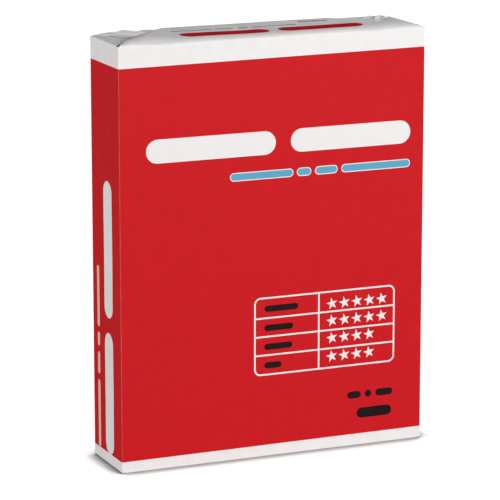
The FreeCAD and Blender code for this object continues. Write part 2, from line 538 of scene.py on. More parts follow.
class Wrapper:
    """The folded wrapper as one closed skin over the stack.

    Attributes:
        ATLAS_SIDE: Side of the square atlas sheet.
        ATLAS_GAP: Gap between two patches on it.
        ATLAS_SHELF: Height of the shelf that the outer sides of an end's two flaps have on it.
        ATLAS_STEP: Further step from the shelves of the flaps to that of the two floors.
        HIDDEN_SCALE: Size of a flap's inner side on it, as a share of the outer side's.
        HIDDEN_CORNER: Offset of the first inner side, once it has that size.
        HIDDEN_PITCH: Further offset of each next one.
        SHARP_DEGREES: Edges that turn by more than this stay sharp in shading.
        NEAR_EDGE: Columns beside a long edge.
        NEAR_FOLD: Rows of a panel beside a fold line.
        NEAR_FLAP_FOLD: Rows of a flap beside its fold line.
        BEAD: Angles of the rows and columns round a free edge.
        FINE_ZONE: How far in from a corner the fine columns reach.
        FINE_START: Gap between the columns beside the edge and the fine ones.
        FINE_STEP: Spacing of the fine columns.
        WIDE_STEP: Largest spacing of the other columns.
        SIDE_STEP: Largest spacing across a narrow panel.
        ROW_STEP: Largest spacing of a panel's rows.
        LAP_STEP: How far to each side of the lap's free edge a column lies.
        LAP_FOLD_RUN: Length over which the lap's step turns round a fold line.
        ARC_STEPS: Steps round a long edge.
        EDGE_TAPER: How far from a corner a flap has its full thickness.
        BEAD_TAPER: How far from a fold line a free edge has its full width.
        TAB_FRONT_RUN: Length over which a side tab rises from the front edge.
        TAB_BACK_RUN: Length over which it rises from the back edge.
        POCKET_SIDE_RUN: Length over which the pocket dies out at the side fold line.
        WIDE_EDGE_RUN: Length over which a wide panel's waves die out at a long edge.
        WIDE_END_RUN: Length over which they die out at a fold line.
        BROAD_WAVE: Height, wavelength and first seed of a wide panel's broad waves.
        CLOSE_WAVE: The same of its close ones.
        SIDE_EDGE_RUN: Length over which a narrow panel's waves die out at a long edge.
        SIDE_END_RUN: Length over which they die out at a fold line.
        SIDE_WAVE: Height and wavelength of a narrow panel's waves.
        SIDE_HOLLOW: How far a narrow panel is hollow.
        LEFT_SEED: Seed of the left panel's waves.
        RIGHT_SEED: Seed of the right panel's waves.
    """

    ATLAS_SIDE = 546.0
    ATLAS_GAP = 4.0
    ATLAS_SHELF = 52.0
    ATLAS_STEP = 40.0
    HIDDEN_SCALE = 0.22
    HIDDEN_CORNER = (20.0, 432.0)
    HIDDEN_PITCH = 62.0
    SHARP_DEGREES = 42.0
    NEAR_EDGE = (0.0, 0.12, 0.3, 0.55, 0.9, 1.3, 1.75, 2.2, 2.7, 3.25, 3.85, 4.55)
    NEAR_FOLD = (0.0, 0.25, 0.6, 1.1, 1.8, 2.8, 4.2, 6.0, 8.5, 11.5, 15.0)
    NEAR_FLAP_FOLD = (0.0, 0.04, 0.12, 0.25, 0.45, 0.7, 1.05, 1.5, 2.1, 2.8)
    BEAD = np.radians([0.0, 24.0, 47.0, 69.0])
    FINE_ZONE = 42.0
    FINE_START = 0.95
    FINE_STEP = 0.92
    WIDE_STEP = 3.6
    SIDE_STEP = 1.45
    ROW_STEP = 8.0
    LAP_STEP = 0.03
    LAP_FOLD_RUN = 1.5
    ARC_STEPS = 5
    EDGE_TAPER = 6.0
    BEAD_TAPER = 2.0
    TAB_FRONT_RUN = 3.0
    TAB_BACK_RUN = 1.6
    POCKET_SIDE_RUN = 0.5
    WIDE_EDGE_RUN = 16.0
    WIDE_END_RUN = 10.0
    BROAD_WAVE = (0.16, 95.0, 11)
    CLOSE_WAVE = (0.05, 31.0, 23)
    SIDE_EDGE_RUN = 9.0
    SIDE_END_RUN = 12.0
    SIDE_WAVE = (0.1, 60.0)
    SIDE_HOLLOW = 0.12
    LEFT_SEED = 31
    RIGHT_SEED = 37

    def __init__(self, form: PackForm, lower: EndForm, upper: EndForm) -> None:
        """Keeps the forms and works out the stations that the patches share.

        Args:
            form: The pack's main sizes.
            lower: The folds of the lower end.
            upper: The folds of the upper end.
        """
        self.form = form
        self.ends = {End.LOWER: lower, End.UPPER: upper}
        width, depth = 2.0 * form.half_width, 2.0 * form.half_depth
        fine = np.arange(self.NEAR_EDGE[-1] + self.FINE_START, self.FINE_ZONE, self.FINE_STEP)
        edge = np.concatenate([self.NEAR_EDGE, fine])
        across = graded(width, edge, self.WIDE_STEP) - form.half_width
        step = np.array([form.lap_left - self.LAP_STEP, form.lap_left + self.LAP_STEP])
        self.across = np.sort(np.concatenate([across, step, -step]))
        self.deep = graded(depth, self.NEAR_EDGE, self.SIDE_STEP) - form.half_depth
        self.up = graded(form.upper - form.lower, self.NEAR_FOLD, self.ROW_STEP) + form.lower

    def panel_swell(self, panel: Panel, x: np.ndarray, z: np.ndarray) -> np.ndarray:
        """How far a wide panel stands out: faint waves that die out at its edges.

        Args:
            panel: The front or the back panel.
            x: Place across the panel.
            z: Height.

        Returns:
            The outward distance.
        """
        form = self.form
        edge = smooth((form.half_width - form.corner_radius - np.abs(x)) / self.WIDE_EDGE_RUN)
        above, below = z - form.lower, form.upper - z
        ends = smooth(above / self.WIDE_END_RUN) * smooth(below / self.WIDE_END_RUN)
        waves = np.zeros(np.broadcast(x, z).shape)
        for rise, wavelength, seed in (self.BROAD_WAVE, self.CLOSE_WAVE):
            waves = waves + rise * soft_noise(x, z, wavelength, seed + panel.value)
        return edge * ends * waves

    def lap(self, x: np.ndarray) -> np.ndarray:
        """How far the lap stands out: a step at its free edge and a slope at the other.

        Args:
            x: Place across the back panel.

        Returns:
            The outward distance.
        """
        form = self.form
        right = form.lap_left + form.lap_width
        on = x > form.lap_left
        return form.lap_rise * on * np.clip((right + form.lap_slope - x) / form.lap_slope, 0.0, 1.0)

    def side_swell(self, y: np.ndarray, z: np.ndarray, seed: int) -> np.ndarray:
        """How far a narrow panel stands out: a slight hollow with faint waves.

        Args:
            y: Place across the panel, from its middle.
            z: Height.
            seed: Seed of the waves.

        Returns:
            The outward distance.
        """
        form = self.form
        edge = smooth((form.half_depth - form.corner_radius - np.abs(y)) / self.SIDE_EDGE_RUN)
        above, below = z - form.lower, form.upper - z
        ends = smooth(above / self.SIDE_END_RUN) * smooth(below / self.SIDE_END_RUN)
        rise, wavelength = self.SIDE_WAVE
        return edge * ends * (rise * soft_noise(y, z, wavelength, seed) - self.SIDE_HOLLOW)

    def front_surface(self, x: np.ndarray, z: np.ndarray) -> np.ndarray:
        """Points of the front panel at x and z."""
        y = self.form.front - self.panel_swell(Panel.FRONT, x, z)
        return np.stack(np.broadcast_arrays(x, y, z), axis=-1)

    def left_surface(self, y: np.ndarray, z: np.ndarray) -> np.ndarray:
        """Points of the left side panel at y and z."""
        x = -self.form.half_width - self.side_swell(y - self.form.middle, z, self.LEFT_SEED)
        return np.stack(np.broadcast_arrays(x, y, z), axis=-1)

    def tube(self) -> Patch:
        """The four panels and the round long edges between them, as one grid round the pack.

        A row is a rectangle with round corners whose radius shrinks to nothing at the folds,
        pushed out by each panel's swell. The columns run left to right along the front, then
        on round the pack.

        Returns:
            The patch.
        """
        form = self.form
        z = self.up[:, None]
        end = np.minimum(z - form.lower, form.upper - z)
        radius = form.corner_radius * smooth(end / form.corner_taper)
        wide = self.across[None, :] * (form.half_width - radius) / form.half_width
        deep = self.deep[None, :] * (form.half_depth - radius) / form.half_depth
        angle = np.linspace(0.0, math.pi / 2.0, self.ARC_STEPS + 1)[None, :]
        cx, cy = form.half_width - radius, form.half_depth - radius
        out = radius * np.sin(angle), radius * np.cos(angle)
        middle = form.middle
        back_y = form.back + self.panel_swell(Panel.BACK, -wide, z) + self.lap(-wide)
        right = form.half_width + self.side_swell(deep, z, self.RIGHT_SEED)
        left = -form.half_width - self.side_swell(-deep, z, self.LEFT_SEED)
        pieces = [
            (wide, form.front - self.panel_swell(Panel.FRONT, wide, z)),
            (cx + out[0], middle - cy - out[1]),
            (right, middle + deep),
            (cx + out[1], middle + cy + out[0]),
            (-wide, back_y),
            (-cx - out[0], middle + cy + out[1]),
            (left, middle - deep),
            (-cx - out[1], middle - cy - out[0]),
        ]
        grids = [np.broadcast_arrays(x, y, z)[:2] for x, y in pieces]
        xs = np.concatenate([x for x, _ in grids], axis=1)
        ys = np.concatenate([y for _, y in grids], axis=1)
        points = np.stack([xs, ys, np.broadcast_to(z, xs.shape)], axis=-1)
        middle_row = points[z.size // 2]
        steps = np.linalg.norm(np.diff(middle_row, axis=0), axis=-1)
        round_it = np.concatenate([[0.0], np.cumsum(steps)]) + self.ATLAS_GAP
        atlas = np.stack(np.broadcast_arrays(round_it[None, :], z + self.ATLAS_GAP), axis=-1)
        return Patch(points, atlas, False)

    def flap_points(
        self, end: End, panel: Panel, x: np.ndarray, inward: np.ndarray
    ) -> np.ndarray:
        """Points on the outer side of a flap.

        Args:
            end: The end that it closes.
            panel: The panel that it is folded from.
            x: Place across the pack.
            inward: Distance from its fold line.

        Returns:
            The points.
        """
        form, folds = self.form, self.ends[end]
        height = folds.flap(panel).height(x, inward, form.half_width)
        if panel is Panel.BACK:
            turned = inward / self.LAP_FOLD_RUN
            height = height + self.lap(x) * smooth(turned)
            y = form.back + self.lap(x) * smooth(1.0 - turned) - inward
        else:
            y = form.front + inward
        height = height + folds.cushion(x, y, form)
        level = form.upper if end is End.UPPER else form.lower
        return np.stack(np.broadcast_arrays(x, y, level + end.value * height), axis=-1)

    def flap(self, end: End, panel: Panel, shelf: tuple[float, float]) -> list[Patch]:
        """A flap as a flat tongue: its outer side, round its doubled edges, and its inner side.

        The outline is a trapezoid with 45 degree sides. Outer and inner sides lie half the
        thickness each way from the middle layer along its normal, and that offset follows a
        half circle near the free edges, so that the two sides meet there. The thickness dies
        out at the corners, where the tongue grows out of the panel.

        Args:
            end: The end that it closes.
            panel: The panel that it is folded from.
            shelf: Where its outer side lies on the atlas sheet.

        Returns:
            The outer and the inner patch.
        """
        form, shape = self.form, self.ends[end].flap(panel)
        half_thick = shape.thickness / 2.0
        bead = 1.0 - np.cos(self.BEAD)
        first = np.array(self.NEAR_FLAP_FOLD)
        last = shape.reach - half_thick
        rows = np.linspace(first[-1], last, math.ceil((last - first[-1]) / shape.row_step) + 1)[1:]
        inward = np.concatenate([first, rows, shape.reach - half_thick * bead[::-1]])[:, None]
        edge = form.half_width - inward
        width = math.sqrt(2.0) * half_thick * np.minimum(1.0, inward / self.BEAD_TAPER)
        inner = edge - width
        rim = inner + width * np.cos(self.BEAD)[None, :]
        inside = self.across[None, :] * inner / form.half_width
        x = np.concatenate([-rim, inside, rim[:, ::-1]], axis=1)
        inward = np.broadcast_to(inward, x.shape)
        outer = self.flap_points(end, panel, x, inward)
        by_row = np.gradient(outer, axis=0)
        by_column = self._column_steps(end, panel, x, inward)
        normal = np.cross(by_column, by_row) * panel.value * end.value
        normal[0] = (0.0, -float(panel.value), 0.0)
        normal /= np.maximum(np.linalg.norm(normal, axis=-1, keepdims=True), 1e-12)
        corner = np.hypot(form.half_width - np.abs(x), inward)
        thick = half_thick * np.minimum(1.0, corner / self.EDGE_TAPER)
        free = np.minimum((edge - np.abs(x)) / math.sqrt(2.0), shape.reach - inward)
        share = np.clip(1.0 - free / np.maximum(thick, 1e-9), 0.0, 1.0)
        offset = (thick * np.sqrt(1.0 - share**2))[..., None] * normal
        core = outer - thick[..., None] * normal
        seen = np.stack([x + form.half_width + shelf[0], inward + shelf[1]], axis=-1)
        unseen = seen * self.HIDDEN_SCALE + self._hidden_shelf(end, panel)
        flip = panel.value * end.value < 0
        return [Patch(core + offset, seen, flip), Patch(core - offset, unseen, not flip)]

    def _column_steps(
        self, end: End, panel: Panel, x: np.ndarray, inward: np.ndarray
    ) -> np.ndarray:
        """The direction across a flap's outer side at each point, by a small central step.

        Args:
            end: The end that the flap closes.
            panel: The panel that it is folded from.
            x: Place across the pack.
            inward: Distance from its fold line.

        Returns:
            The direction, as long as the step is.
        """
        ahead = self.flap_points(end, panel, x + PROBE, inward)
        behind = self.flap_points(end, panel, x - PROBE, inward)
        return ahead - behind

    def _hidden_shelf(self, end: End, panel: Panel) -> np.ndarray:
        """Where the inner side of a flap lies on the atlas sheet."""
        column = (0 if end is End.LOWER else 2) + (0 if panel is Panel.FRONT else 1)
        return np.array(self.HIDDEN_CORNER) + (self.HIDDEN_PITCH * column, 0.0)

    def floor_of(self, end: End, shelf: tuple[float, float]) -> Patch:
        """The lowest layer of an end: the side tabs, and the sheets' ends between them.

        Each row runs from side to side. The first and last rows are where the front and back
        flaps' inner sides start, and the first and last columns are the side fold lines, where
        the tabs rise upright to their height.

        Args:
            end: The end that it belongs to.
            shelf: Where it lies on the atlas sheet.

        Returns:
            The patch.
        """
        form, ends = self.form, self.ends[end]
        x = self.across[None, :]
        from_corner = np.minimum(1.0, (form.half_width - np.abs(x)) / self.EDGE_TAPER)
        low = form.front + ends.front.thickness * from_corner
        high = form.back + self.lap(x) - ends.back.thickness * from_corner
        share = (self.deep[:, None] + form.half_depth) / (2.0 * form.half_depth)
        y = low + (high - low) * share
        flat = smooth(np.minimum((y - low) / self.TAB_FRONT_RUN, (high - y) / self.TAB_BACK_RUN))
        height = (ends.tab(x, form) + ends.cushion(x, y, form)) * flat
        level = form.upper if end is End.UPPER else form.lower
        points = np.stack(np.broadcast_arrays(x, y, level + end.value * height), axis=-1)
        inner = smooth((form.half_width - np.abs(x)) / self.POCKET_SIDE_RUN) * flat
        drawn = ends.pocket * inner * ends.pocket_share(x, y, form)
        points = points + drawn[..., None] * np.array(ends.POCKET_WAY)
        atlas = np.stack(
            np.broadcast_arrays(x + form.half_width + shelf[0], y - form.front + shelf[1]), axis=-1
        )
        return Patch(points, atlas, end is End.LOWER)

    def build(self) -> bpy.types.Object:
        """Welds every patch into the wrapper's skin.

        Returns:
            The wrapper's object.
        """
        skin = Skin("ream_wrapper", self.ATLAS_SIDE, self.SHARP_DEGREES)
        skin.add(self.tube())
        left = self.ATLAS_GAP
        right = 2.0 * self.form.half_width + 2.0 * self.ATLAS_GAP
        upper = self.form.upper + 2.0 * self.ATLAS_GAP
        lower = upper + self.ATLAS_SHELF
        floors = upper + 2.0 * self.ATLAS_SHELF + self.ATLAS_STEP
        skin.add(*self.flap(End.UPPER, Panel.FRONT, (left, upper)))
        skin.add(*self.flap(End.UPPER, Panel.BACK, (right, upper)))
        skin.add(*self.flap(End.LOWER, Panel.FRONT, (left, lower)))
        skin.add(*self.flap(End.LOWER, Panel.BACK, (right, lower)))
        skin.add(self.floor_of(End.UPPER, (left, floors)))
        skin.add(self.floor_of(End.LOWER, (right, floors)))
        return skin.build()


def upper_folds() -> EndForm:
    """The loose folds of the upper end, as the photograph shows them.

    Returns:
        The folds.
    """
    left = (
        Crease(9.0, 1.0, 47.0, 28.6, 1.2, 1.0, 2.1),
        Crease(16.0, 0.3, 49.0, 25.0, 1.5, 6.0, 2.2),
        Crease(33.0, 0.5, 38.0, 12.5, 0.5, 3.0, 1.6),
    )
    right = (
        Crease(2.6, 0.2, 50.0, 18.0, 0.9, 0.9, 1.5),
        Crease(7.6, 0.2, 50.0, 21.0, 1.1, 0.9, 1.8),
        Crease(13.5, 0.5, 42.0, 22.0, 0.8, 2.0, 1.6),
    )
    front = FlapForm(
        reach=FRONT_REACH, thickness=0.5, ripple=0.1, seed=41, row_step=0.85,
        stations=(
            RollStation(0.0, 0.25, 1.6, 0.25),
            RollStation(2.5, 1.3, 2.4, 1.3),
            RollStation(9.0, 2.8, 6.5, 2.0),
            RollStation(17.0, 3.5, 9.5, 1.9, 0.4),
            RollStation(25.0, 4.0, 12.5, 2.3, 0.9),
            RollStation(36.0, 3.3, 11.0, 2.7, 0.8),
            RollStation(45.0, 2.9, 9.0, 2.8, 0.6),
            RollStation(51.0, 2.7, 8.0, 2.85, 0.5),
            RollStation(94.0, 2.3, 6.5, 2.85, 0.4),
            RollStation(129.0, 2.4, 5.6, 2.85, 0.4),
            RollStation(165.0, 2.5, 5.4, 2.85, 0.4),
            RollStation(180.0, 2.8, 7.5, 2.4, 0.7),
            RollStation(191.0, 3.5, 10.5, 1.7, 0.3),
            RollStation(197.0, 3.6, 11.5, 1.4, 0.2),
            RollStation(203.0, 3.5, 10.5, 2.6),
            RollStation(208.0, 3.0, 7.0, 2.9),
            RollStation(212.5, 2.0, 3.8, 2.0),
            RollStation(FOLD_LENGTH, 0.25, 1.6, 0.25),
        ),
    )
    back = FlapForm(
        reach=BACK_REACH, thickness=0.4, stations=even_roll(2.1, 3.2, 9.0, 1.0), row_step=0.72,
        left_creases=left, right_creases=right,
    )
    return EndForm(
        front, back, tab_crest=1.2, tab_depth=3.4, tab_dip=0.9, bulge=0.5, pocket=7.0,
    )


def even_roll(crest: float, depth: float, pinch: float, tip: float) -> tuple[RollStation, ...]:
    """Stations of a roll that is even but for its two corners, pinched to a fifth of its height.

    Args:
        crest: Height of the roll.
        depth: How far in the roll is at its full height.
        pinch: Length over which it rises from each corner.
        tip: Height at the free edge.

    Returns:
        The stations.
    """
    low = RollStation(0.0, 0.2 * crest, depth, 0.2 * crest)
    full = RollStation(pinch, crest, depth, tip)
    return (low, full, replace(full, along=FOLD_LENGTH - pinch), replace(low, along=FOLD_LENGTH))


def lower_folds() -> EndForm:
    """The folds of the lower end, pressed flat by the pack's weight.

    Returns:
        The folds.
    """
    front = FlapForm(
        reach=FRONT_REACH, thickness=0.33, stations=even_roll(0.9, 1.3, 3.0, 0.9), row_step=4.4,
    )
    back = FlapForm(
        reach=BACK_REACH, thickness=0.28, stations=even_roll(0.55, 1.1, 3.0, 0.55), row_step=4.4,
    )
    return EndForm(front, back, tab_crest=0.25, tab_depth=0.8)


class Nodes:
    """Small helper that places and links shader nodes in one tree."""

    def __init__(self, tree: bpy.types.NodeTree) -> None:
        """Keeps the tree."""
        self.tree = tree

    def add(self, kind: str, inputs: dict | None = None, **settings) -> bpy.types.Node:
        """Adds a node, sets its properties, and links or sets its inputs.

        Args:
            kind: The node's type name.
            inputs: Socket name or number to a value, or to the output socket that feeds it.
            **settings: Properties of the node.

        Returns:
            The node.
        """
        node = self.tree.nodes.new(kind)
        for name, value in settings.items():
            setattr(node, name, value)
        for name, value in (inputs or {}).items():
            if isinstance(value, bpy.types.NodeSocket):
                self.tree.links.new(value, node.inputs[name])
            else:
                node.inputs[name].default_value = value
        return node

    def math(self, operation: str, *values) -> bpy.types.NodeSocket:
        """Adds a Math node on numbers or sockets and returns its output."""
        node = self.add("ShaderNodeMath", dict(enumerate(values)), operation=operation)
        return node.outputs[0]

    def ramp(
        self, value: bpy.types.NodeSocket, low: float, high: float | bpy.types.NodeSocket,
        start: float, stop: float,
    ) -> bpy.types.NodeSocket:
        """Maps a value from low..high to start..stop, with eased ends.

        Args:
            value: The socket that is mapped.
            low: The value that gives the start.
            high: The value that gives the stop, a number or a socket.
            start: The result at and below low.
            stop: The result at and above high.

        Returns:
            The output.
        """
        inputs = {"Value": value, "From Min": low, "From Max": high, "To Min": start, "To Max": stop}
        node = self.add("ShaderNodeMapRange", inputs, interpolation_type="SMOOTHSTEP")
        return node.outputs["Result"]

    def mix(
        self, share: bpy.types.NodeSocket, first: bpy.types.NodeSocket | tuple,
        second: bpy.types.NodeSocket | tuple,
    ) -> bpy.types.NodeSocket:
        """Mixes two colours.

        Args:
            share: How much of the second colour there is, 0 to 1.
            first: A colour, or the socket that gives it.
            second: A colour, or the socket that gives it.

        Returns:
            The output, which is number 2 of this node where it mixes colours.
        """
        colours = {0: share, 6: first, 7: second}
        return self.add("ShaderNodeMix", colours, data_type="RGBA").outputs[2]


def new_group(name: str, inputs: dict[str, float], outputs: dict[str, str]) -> bpy.types.NodeTree:
    """Makes an empty shader node group.

    Args:
        name: The group's name.
        inputs: Name and default of each number that goes in.
        outputs: Name and socket type of each result.

    Returns:
        The group.
    """
    tree = bpy.data.node_groups.new(name, "ShaderNodeTree")
    for label, default in inputs.items():
        socket = tree.interface.new_socket(label, in_out="INPUT", socket_type="NodeSocketFloat")
        socket.default_value = default
    for label, kind in outputs.items():
        tree.interface.new_socket(label, in_out="OUTPUT", socket_type=kind)
    return tree


def paper_grain_group() -> bpy.types.NodeTree:
    """The grain of smooth wrapping paper: cloudy formation, fine fibres, and a height for bump.

    The tone is three fifths cloud and two fifths fibre. The height is the fibre and about a
    third of the cloud.

    Returns:
        The group, with Tone, Gloss and Height going out.
    """
    tree = new_group(
        "paper_grain",
        {"Cloud Size": 9.0, "Fibre Size": 0.7},
        {"Tone": "NodeSocketFloat", "Gloss": "NodeSocketFloat", "Height": "NodeSocketFloat"},
    )
    nodes = Nodes(tree)
    given = nodes.add("NodeGroupInput")
    place = nodes.add("ShaderNodeTexCoord").outputs["Object"]
    cloud_scale = nodes.math("DIVIDE", 1.0 / MM, given.outputs["Cloud Size"])
    fibre_scale = nodes.math("DIVIDE", 1.0 / MM, given.outputs["Fibre Size"])
    cloud = nodes.add("ShaderNodeTexNoise", {"Vector": place, "Scale": cloud_scale, "Detail": 3.0})
    fibre = nodes.add("ShaderNodeTexNoise", {"Vector": place, "Scale": fibre_scale, "Detail": 2.0})
    cloud_tone = nodes.math("MULTIPLY", cloud.outputs[0], 0.6)
    fibre_tone = nodes.math("MULTIPLY", fibre.outputs[0], 0.4)
    tone = nodes.math("ADD", cloud_tone, fibre_tone)
    height = nodes.math("ADD", nodes.math("MULTIPLY", cloud.outputs[0], 0.35), fibre.outputs[0])
    nodes.add("NodeGroupOutput", {"Tone": tone, "Gloss": cloud.outputs[0], "Height": height})
    return tree


def edge_wear_group(form: PackForm) -> bpy.types.NodeTree:
    """Wear of the ink along the pack's four long edges and the lap's cut edge, with noise.

    A point is near a long edge where both its distance from a narrow panel and its distance
    from a wide panel are small, so the larger of the two is the distance that counts. On the
    back half, the distance from the lap's free edge counts where it is smaller. It is divided
    by a share, so that the wear there is that much narrower than at the long edges, and the
    front half is put too far away to wear.

    Args:
        form: The pack's main sizes.

    Returns:
        The group, with Wear going out.
    """
    lap_share, too_far = 0.6, 99.0
    breakup_scale, fine_scale = 210.0, 1500.0
    tree = new_group("edge_wear", {"Width": 0.9, "Amount": 0.5}, {"Wear": "NodeSocketFloat"})
    nodes = Nodes(tree)
    given = nodes.add("NodeGroupInput")
    place = nodes.add("ShaderNodeTexCoord").outputs["Object"]
    axes = nodes.add("ShaderNodeSeparateXYZ", {"Vector": place}).outputs
    in_x = nodes.math("SUBTRACT", form.half_width * MM, nodes.math("ABSOLUTE", axes["X"]))
    off_middle = nodes.math("ABSOLUTE", nodes.math("SUBTRACT", axes["Y"], form.middle * MM))
    in_y = nodes.math("SUBTRACT", form.half_depth * MM, off_middle)
    edge = nodes.math("DIVIDE", nodes.math("MAXIMUM", in_x, in_y), MM)
    in_front = nodes.math("LESS_THAN", axes["Y"], form.middle * MM)
    off_lap = nodes.math("ABSOLUTE", nodes.math("SUBTRACT", axes["X"], form.lap_left * MM))
    off_lap = nodes.math("DIVIDE", off_lap, lap_share * MM)
    off_lap = nodes.math("ADD", off_lap, nodes.math("MULTIPLY", in_front, too_far))
    edge = nodes.math("MINIMUM", edge, off_lap)
    coarse = {"Vector": place, "Scale": breakup_scale, "Detail": 4.0}
    breakup = nodes.add("ShaderNodeTexNoise", coarse).outputs[0]
    close = {"Vector": place, "Scale": fine_scale, "Detail": 2.0}
    fine = nodes.add("ShaderNodeTexNoise", close).outputs[0]
    reach = nodes.math("MULTIPLY", given.outputs["Width"], nodes.math("ADD", breakup, fine))
    near = nodes.ramp(edge, 0.0, reach, 1.0, 0.0)
    worn = nodes.math("MULTIPLY", near, given.outputs["Amount"])
    nodes.add("NodeGroupOutput", {"Wear": worn})
    return tree


def srgb(red: float, green: float, blue: float) -> tuple[float, float, float, float]:
    """Turns a screen colour into a linear colour, by the standard curve of screens.

    Args:
        red: Red, 0 to 255.
        green: Green, 0 to 255.
        blue: Blue, 0 to 255.

    Returns:
        Linear red, green and blue, and 1.
    """
    share = np.array([red, green, blue]) / 255.0
    linear = np.where(share <= 0.04045, share / 12.92, ((share + 0.055) / 1.055) ** 2.4)
    return (*linear.tolist(), 1.0)


@dataclass(frozen=True)
class PaperFinish:
    """A finish of the wrapper's paper, bare or inked.

    Attributes:
        name: The material's name.
        colour: Its main colour, linear.
        tone_spread: How much lighter and darker the grain makes it.
        roughness: Its middle roughness.
        bump: Strength of its grain.
        gloss: Its specular level.
        TONE_RANGE: Values of the grain's tone between its darkest and its lightest places.
        GLOSS_RANGE: Values of its gloss between its smoothest and its roughest places.
        SWING: How far the grain moves the roughness to each side.
    """

    name: str
    colour: tuple[float, float, float, float]
    tone_spread: float = 0.05
    roughness: float = 0.5
    bump: float = 0.12
    gloss: float = 0.05

    TONE_RANGE = (0.32, 0.68)
    GLOSS_RANGE = (0.3, 0.7)
    SWING = 0.05

    def toned(self, nodes: Nodes, tone: bpy.types.NodeSocket) -> bpy.types.NodeSocket:
        """The colour, made lighter and darker by the grain.

        Args:
            nodes: The material's nodes.
            tone: The grain's tone.

        Returns:
            The colour's socket.
        """
        dark = tuple(c * (1.0 - self.tone_spread) for c in self.colour[:3]) + (1.0,)
        light = tuple(min(1.0, c * (1.0 + self.tone_spread)) for c in self.colour[:3]) + (1.0,)
        return nodes.mix(nodes.ramp(tone, *self.TONE_RANGE, 0.0, 1.0), dark, light)

    def rough(
        self, nodes: Nodes, gloss: bpy.types.NodeSocket, above: float = SWING
    ) -> bpy.types.NodeSocket:
        """The roughness, made lower and higher by the grain.

        Args:
            nodes: The material's nodes.
            gloss: The grain's gloss.
            above: How far the roughness goes above its middle.

        Returns:
            The roughness's socket.
        """
        low, high = self.roughness - self.SWING, self.roughness + above
        return nodes.ramp(gloss, *self.GLOSS_RANGE, low, high)


class Ink(Enum):
    """The inks of the printed marks, each with its finish."""

    WHITE = PaperFinish("ink_gap_white", srgb(243, 240, 239), 0.015, 0.5, 0.1)
    BLUE = PaperFinish("ink_pale_blue", srgb(96, 172, 203), 0.03, 0.48, 0.1)
    BLACK = PaperFinish("ink_black", srgb(34, 24, 26), 0.1, 0.45, 0.1)
    CREAM = PaperFinish("ink_cream", srgb(238, 205, 178), 0.03, 0.48, 0.1)
    DARK_RED = PaperFinish("ink_dark_red", srgb(226, 42, 60), 0.05, 0.6, 0.1, 0.0)
    SLATE = PaperFinish("ink_slate", srgb(122, 142, 156), 0.04, 0.5, 0.1)


